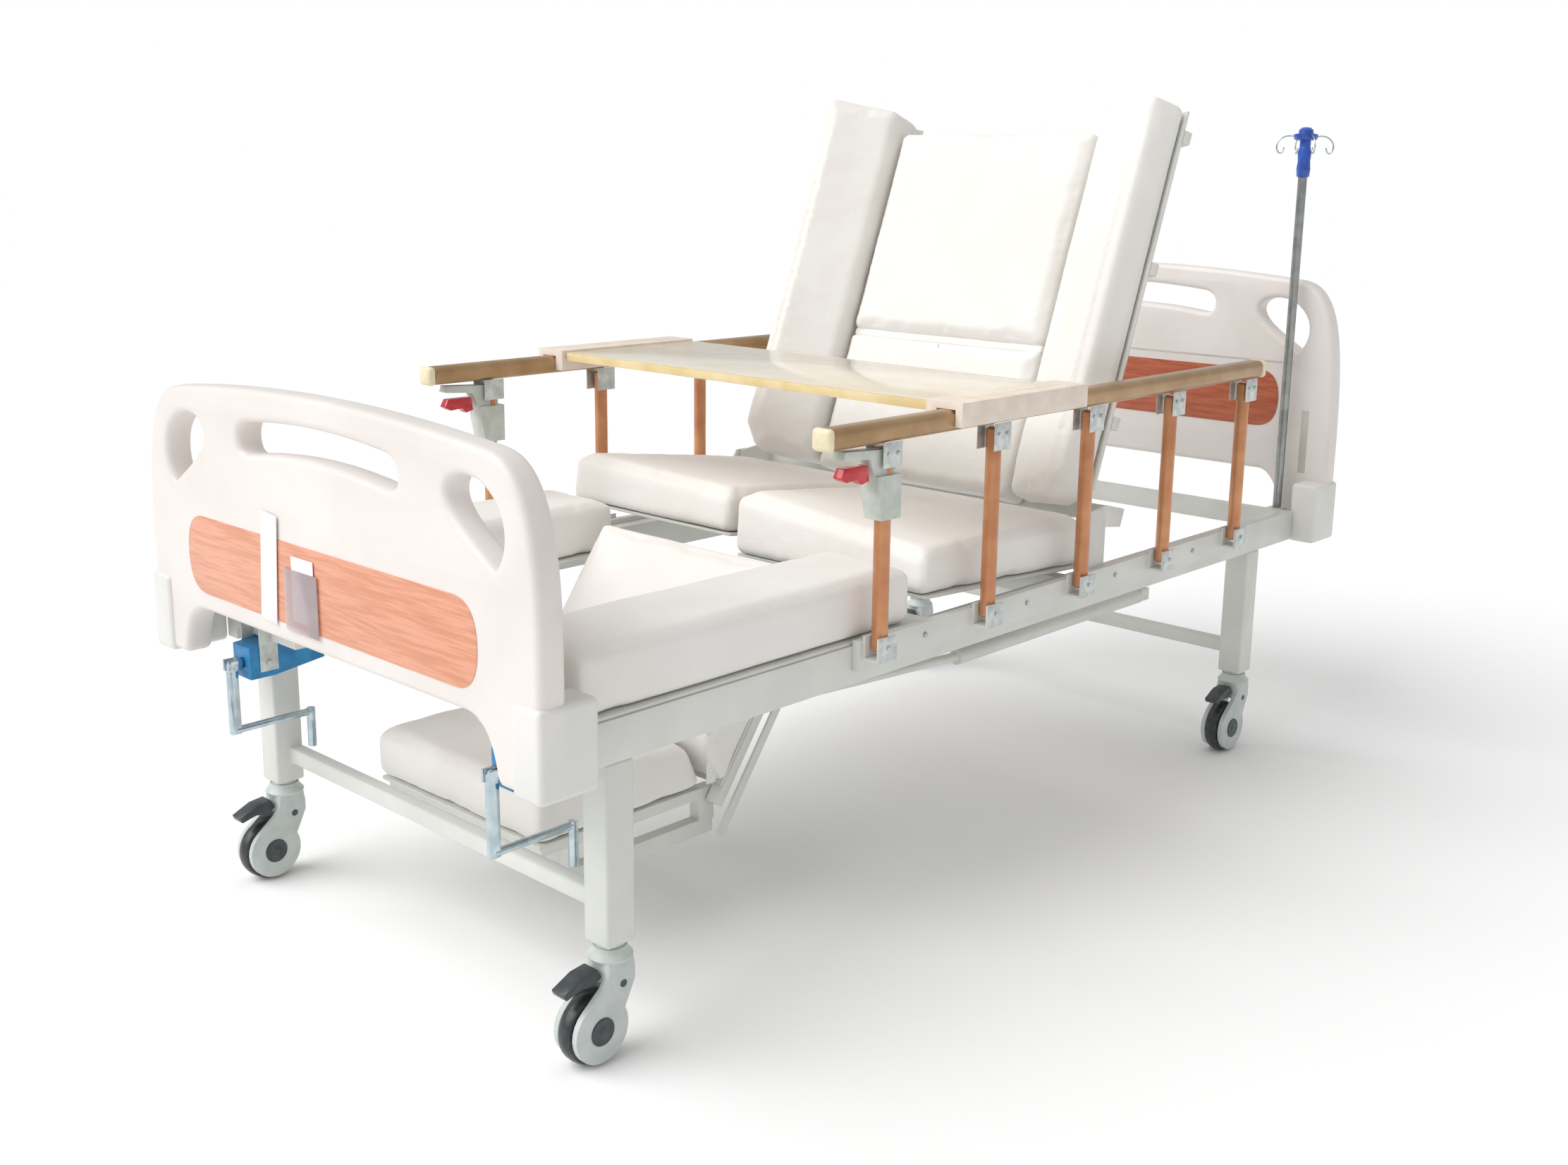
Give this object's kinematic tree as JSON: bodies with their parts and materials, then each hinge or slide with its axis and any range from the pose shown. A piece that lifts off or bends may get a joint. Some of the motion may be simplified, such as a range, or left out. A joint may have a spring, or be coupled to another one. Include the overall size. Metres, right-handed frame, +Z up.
{
  "type": "adjustable hospital bed",
  "caption": "Manual nursing bed on braked castors with raised backrest, turning wings, dropped calf section, footrest, folding side rails, tray and drip pole",
  "frame": {"origin": "on the floor under the middle of the bed", "axes": "+X to the patient's left, +Y from the foot to the head, +Z up"},
  "size_m": [1.024, 2.17, 1.3478],
  "materials": {
    "powder_coated_steel": "satin powder coat",
    "board_plastic": "moulded ABS",
    "cover_fabric": "matt coated mattress cover",
    "bronze_tube": "bronze anodised",
    "copper_post": "copper-tan anodised",
    "latch_paint": "painted casting",
    "red_plastic": "moulded",
    "blue_plastic": "moulded",
    "chrome_steel": "bright plated",
    "castor_shell": "moulded",
    "tyre_rubber": "moulded",
    "pedal_plastic": "moulded",
    "tray_plastic": "moulded"
  },
  "bodies": {
    "frame": {"main_frame": "powder_coated_steel", "foot_legs": "powder_coated_steel", "head_legs": "powder_coated_steel", "footboard": "board_plastic", "headboard": "board_plastic", "crank_housing_left": "blue_plastic", "crank_housing_right": "blue_plastic", "leg_strip_pad_left": "cover_fabric", "leg_strip_pad_right": "cover_fabric", "rail_base_left": "powder_coated_steel", "rail_base_right": "powder_coated_steel", "back_lift_drive": "powder_coated_steel"},
    "caster_foot_left": {"caster_hood_foot_left": "castor_shell"},
    "wheel_foot_left": {"caster_wheel_foot_left": "tyre_rubber"},
    "pedal_foot_left": {"brake_pedal_foot_left": "pedal_plastic"},
    "caster_foot_right": {"caster_hood_foot_right": "castor_shell"},
    "wheel_foot_right": {"caster_wheel_foot_right": "tyre_rubber"},
    "pedal_foot_right": {"brake_pedal_foot_right": "pedal_plastic"},
    "caster_head_left": {"caster_hood_head_left": "castor_shell"},
    "wheel_head_left": {"caster_wheel_head_left": "tyre_rubber"},
    "pedal_head_left": {"brake_pedal_head_left": "pedal_plastic"},
    "caster_head_right": {"caster_hood_head_right": "castor_shell"},
    "wheel_head_right": {"caster_wheel_head_right": "tyre_rubber"},
    "pedal_head_right": {"brake_pedal_head_right": "pedal_plastic"},
    "rail_post_left_1": {"rail_post_left_1": "copper_post", "rail_latch_left": "latch_paint"},
    "rail_post_left_2": {"rail_post_left_2": "copper_post"},
    "rail_post_left_3": {"rail_post_left_3": "copper_post"},
    "rail_post_left_4": {"rail_post_left_4": "copper_post"},
    "rail_post_left_5": {"rail_post_left_5": "copper_post"},
    "handrail_left": {"handrail_left": "bronze_tube"},
    "trigger_left": {"release_trigger_left": "red_plastic"},
    "rail_post_right_1": {"rail_post_right_1": "copper_post", "rail_latch_right": "latch_paint"},
    "rail_post_right_2": {"rail_post_right_2": "copper_post"},
    "rail_post_right_3": {"rail_post_right_3": "copper_post"},
    "rail_post_right_4": {"rail_post_right_4": "copper_post"},
    "rail_post_right_5": {"rail_post_right_5": "copper_post"},
    "handrail_right": {"handrail_right": "bronze_tube"},
    "trigger_right": {"release_trigger_right": "red_plastic"},
    "tray": {"overbed_tray": "tray_plastic"},
    "backrest": {"back_frame": "powder_coated_steel", "back_pad": "cover_fabric", "lumbar_pad": "cover_fabric"},
    "wing_left": {"wing_pad_left": "cover_fabric"},
    "seat_left": {"seat_pad_left": "cover_fabric"},
    "wing_right": {"wing_pad_right": "cover_fabric"},
    "seat_right": {"seat_pad_right": "cover_fabric"},
    "calf": {"calf_frame": "powder_coated_steel", "calf_pad": "cover_fabric"},
    "footrest": {"footrest_frame": "powder_coated_steel", "foot_pad": "cover_fabric"},
    "footrest_link": {"footrest_link": "powder_coated_steel"},
    "crank_shaft_left": {"crank_shaft_left": "chrome_steel"},
    "crank_left": {"crank_arm_left": "chrome_steel"},
    "crank_shaft_right": {"crank_shaft_right": "chrome_steel"},
    "crank_right": {"crank_arm_right": "chrome_steel"},
    "drip_pole": {"iv_pole": "chrome_steel"},
    "drip_crown": {"iv_crown": "blue_plastic"}
  },
  "joints": [
    {"name": "caster_swivel_foot_left", "type": "hinge", "parent": "frame", "child": "caster_foot_left", "pos_m": [0.425, -0.914, 0.15], "axis": [0, 0, 1], "continuous": true},
    {"name": "wheel_spin_foot_left", "type": "hinge", "parent": "caster_foot_left", "child": "wheel_foot_left", "pos_m": [0.425, -0.949, 0.052], "axis": [1, 0, 0], "continuous": true},
    {"name": "brake_pedal_press_foot_left", "type": "hinge", "parent": "caster_foot_left", "child": "pedal_foot_left", "pos_m": [0.425, -0.944, 0.13], "axis": [1, 0, 0], "range_deg": [0, 8], "stiffness_Nm_per_rad": 0.5, "springref_deg": -5.73},
    {"name": "caster_swivel_foot_right", "type": "hinge", "parent": "frame", "child": "caster_foot_right", "pos_m": [-0.425, -0.914, 0.15], "axis": [0, 0, 1], "continuous": true},
    {"name": "wheel_spin_foot_right", "type": "hinge", "parent": "caster_foot_right", "child": "wheel_foot_right", "pos_m": [-0.425, -0.949, 0.052], "axis": [1, 0, 0], "continuous": true},
    {"name": "brake_pedal_press_foot_right", "type": "hinge", "parent": "caster_foot_right", "child": "pedal_foot_right", "pos_m": [-0.425, -0.944, 0.13], "axis": [1, 0, 0], "range_deg": [0, 8], "stiffness_Nm_per_rad": 0.5, "springref_deg": -5.73},
    {"name": "caster_swivel_head_left", "type": "hinge", "parent": "frame", "child": "caster_head_left", "pos_m": [0.425, 0.822, 0.15], "axis": [0, 0, 1], "continuous": true},
    {"name": "wheel_spin_head_left", "type": "hinge", "parent": "caster_head_left", "child": "wheel_head_left", "pos_m": [0.425, 0.787, 0.052], "axis": [1, 0, 0], "continuous": true},
    {"name": "brake_pedal_press_head_left", "type": "hinge", "parent": "caster_head_left", "child": "pedal_head_left", "pos_m": [0.425, 0.792, 0.13], "axis": [1, 0, 0], "range_deg": [0, 8], "stiffness_Nm_per_rad": 0.5, "springref_deg": -5.73},
    {"name": "caster_swivel_head_right", "type": "hinge", "parent": "frame", "child": "caster_head_right", "pos_m": [-0.425, 0.822, 0.15], "axis": [0, 0, 1], "continuous": true},
    {"name": "wheel_spin_head_right", "type": "hinge", "parent": "caster_head_right", "child": "wheel_head_right", "pos_m": [-0.425, 0.787, 0.052], "axis": [1, 0, 0], "continuous": true},
    {"name": "brake_pedal_press_head_right", "type": "hinge", "parent": "caster_head_right", "child": "pedal_head_right", "pos_m": [-0.425, 0.792, 0.13], "axis": [1, 0, 0], "range_deg": [0, 8], "stiffness_Nm_per_rad": 0.5, "springref_deg": -5.73},
    {"name": "side_rail_fold_left", "type": "hinge", "parent": "frame", "child": "rail_post_left_1", "pos_m": [0.48, -0.422, 0.492], "axis": [1, 0, 0], "range_deg": [0, 75]},
    {"name": "rail_post_fold_left_2", "type": "hinge", "parent": "frame", "child": "rail_post_left_2", "pos_m": [0.48, -0.1495, 0.492], "axis": [1, 0, 0], "range_deg": [0, 75]},
    {"name": "rail_post_fold_left_3", "type": "hinge", "parent": "frame", "child": "rail_post_left_3", "pos_m": [0.48, 0.123, 0.492], "axis": [1, 0, 0], "range_deg": [0, 75]},
    {"name": "rail_post_fold_left_4", "type": "hinge", "parent": "frame", "child": "rail_post_left_4", "pos_m": [0.48, 0.3955, 0.492], "axis": [1, 0, 0], "range_deg": [0, 75]},
    {"name": "rail_post_fold_left_5", "type": "hinge", "parent": "frame", "child": "rail_post_left_5", "pos_m": [0.48, 0.668, 0.492], "axis": [1, 0, 0], "range_deg": [0, 75]},
    {"name": "handrail_level_left", "type": "hinge", "parent": "rail_post_left_1", "child": "handrail_left", "pos_m": [0.48, -0.422, 0.79], "axis": [1, 0, 0], "range_deg": [-75, 0]},
    {"name": "release_trigger_squeeze_left", "type": "slide", "parent": "rail_post_left_1", "child": "trigger_left", "axis": [0, 0, 1], "range_m": [0, 0.006], "stiffness_N_per_m": 600, "springref_m": -0.002},
    {"name": "side_rail_fold_right", "type": "hinge", "parent": "frame", "child": "rail_post_right_1", "pos_m": [-0.48, -0.422, 0.492], "axis": [1, 0, 0], "range_deg": [0, 75]},
    {"name": "rail_post_fold_right_2", "type": "hinge", "parent": "frame", "child": "rail_post_right_2", "pos_m": [-0.48, -0.1495, 0.492], "axis": [1, 0, 0], "range_deg": [0, 75]},
    {"name": "rail_post_fold_right_3", "type": "hinge", "parent": "frame", "child": "rail_post_right_3", "pos_m": [-0.48, 0.123, 0.492], "axis": [1, 0, 0], "range_deg": [0, 75]},
    {"name": "rail_post_fold_right_4", "type": "hinge", "parent": "frame", "child": "rail_post_right_4", "pos_m": [-0.48, 0.3955, 0.492], "axis": [1, 0, 0], "range_deg": [0, 75]},
    {"name": "rail_post_fold_right_5", "type": "hinge", "parent": "frame", "child": "rail_post_right_5", "pos_m": [-0.48, 0.668, 0.492], "axis": [1, 0, 0], "range_deg": [0, 75]},
    {"name": "handrail_level_right", "type": "hinge", "parent": "rail_post_right_1", "child": "handrail_right", "pos_m": [-0.48, -0.422, 0.79], "axis": [1, 0, 0], "range_deg": [-75, 0]},
    {"name": "release_trigger_squeeze_right", "type": "slide", "parent": "rail_post_right_1", "child": "trigger_right", "axis": [0, 0, 1], "range_m": [0, 0.006], "stiffness_N_per_m": 600, "springref_m": -0.002},
    {"name": "tray_lift_off", "type": "slide", "parent": "frame", "child": "tray", "axis": [0, 0, 1], "range_m": [0, 0.2]},
    {"name": "backrest_raise", "type": "hinge", "parent": "frame", "child": "backrest", "pos_m": [0, 0.217, 0.585], "axis": [1, 0, 0], "range_deg": [-69.5, 0]},
    {"name": "wing_turn_left", "type": "hinge", "parent": "backrest", "child": "wing_left", "pos_m": [0.243, 0.29568, 0.55558], "axis": [0, 0.3502, 0.9367], "range_deg": [-9, 25]},
    {"name": "seat_tilt_left", "type": "hinge", "parent": "frame", "child": "seat_left", "pos_m": [0, 0.217, 0.585], "axis": [-1, 0, 0], "range_deg": [-3, 15]},
    {"name": "wing_turn_right", "type": "hinge", "parent": "backrest", "child": "wing_right", "pos_m": [-0.243, 0.29568, 0.55558], "axis": [0, -0.3502, -0.9367], "range_deg": [0, 34]},
    {"name": "seat_tilt_right", "type": "hinge", "parent": "frame", "child": "seat_right", "pos_m": [0, 0.217, 0.585], "axis": [-1, 0, 0], "range_deg": [-7, 15]},
    {"name": "calf_raise", "type": "hinge", "parent": "frame", "child": "calf", "pos_m": [0, -0.292, 0.494], "axis": [-1, 0, 0], "range_deg": [-2, 54.6]},
    {"name": "footrest_level", "type": "hinge", "parent": "calf", "child": "footrest", "pos_m": [0, -0.5046, 0.19485], "axis": [-1, 0, 0], "range_deg": [-54.6, 2]},
    {"name": "footrest_link_swing", "type": "hinge", "parent": "frame", "child": "footrest_link", "pos_m": [0.23, -0.296, 0.444], "axis": [-1, 0, 0], "range_deg": [-2, 54.6]},
    {"name": "crank_turn_left", "type": "hinge", "parent": "frame", "child": "crank_shaft_left", "pos_m": [0.34, -1.04, 0.415], "axis": [0, 1, 0], "range_deg": [-15, 25]},
    {"name": "crank_unfold_left", "type": "hinge", "parent": "crank_shaft_left", "child": "crank_left", "pos_m": [0.34, -1.04, 0.415], "axis": [-1, 0, 0], "range_deg": [0, 90]},
    {"name": "crank_turn_right", "type": "hinge", "parent": "frame", "child": "crank_shaft_right", "pos_m": [-0.34, -1.04, 0.415], "axis": [0, -1, 0], "range_deg": [-15, 25]},
    {"name": "crank_unfold_right", "type": "hinge", "parent": "crank_shaft_right", "child": "crank_right", "pos_m": [-0.34, -1.04, 0.415], "axis": [-1, 0, 0], "range_deg": [0, 90]},
    {"name": "drip_pole_raise", "type": "slide", "parent": "frame", "child": "drip_pole", "axis": [0, 0, 1], "range_m": [0, 0.03]},
    {"name": "drip_crown_turn", "type": "hinge", "parent": "drip_pole", "child": "drip_crown", "pos_m": [0.4, 1.012, 1.193], "axis": [0, 0, 1], "continuous": true}
  ],
  "couplings": [
    {"joint": "rail_post_fold_left_2", "follows": "side_rail_fold_left", "ratio": 1},
    {"joint": "rail_post_fold_left_3", "follows": "side_rail_fold_left", "ratio": 1},
    {"joint": "rail_post_fold_left_4", "follows": "side_rail_fold_left", "ratio": 1},
    {"joint": "rail_post_fold_left_5", "follows": "side_rail_fold_left", "ratio": 1},
    {"joint": "handrail_level_left", "follows": "side_rail_fold_left", "ratio": -1},
    {"joint": "rail_post_fold_right_2", "follows": "side_rail_fold_right", "ratio": 1},
    {"joint": "rail_post_fold_right_3", "follows": "side_rail_fold_right", "ratio": 1},
    {"joint": "rail_post_fold_right_4", "follows": "side_rail_fold_right", "ratio": 1},
    {"joint": "rail_post_fold_right_5", "follows": "side_rail_fold_right", "ratio": 1},
    {"joint": "handrail_level_right", "follows": "side_rail_fold_right", "ratio": -1},
    {"joint": "footrest_level", "follows": "calf_raise", "ratio": -1},
    {"joint": "footrest_link_swing", "follows": "calf_raise", "ratio": 1}
  ]
}
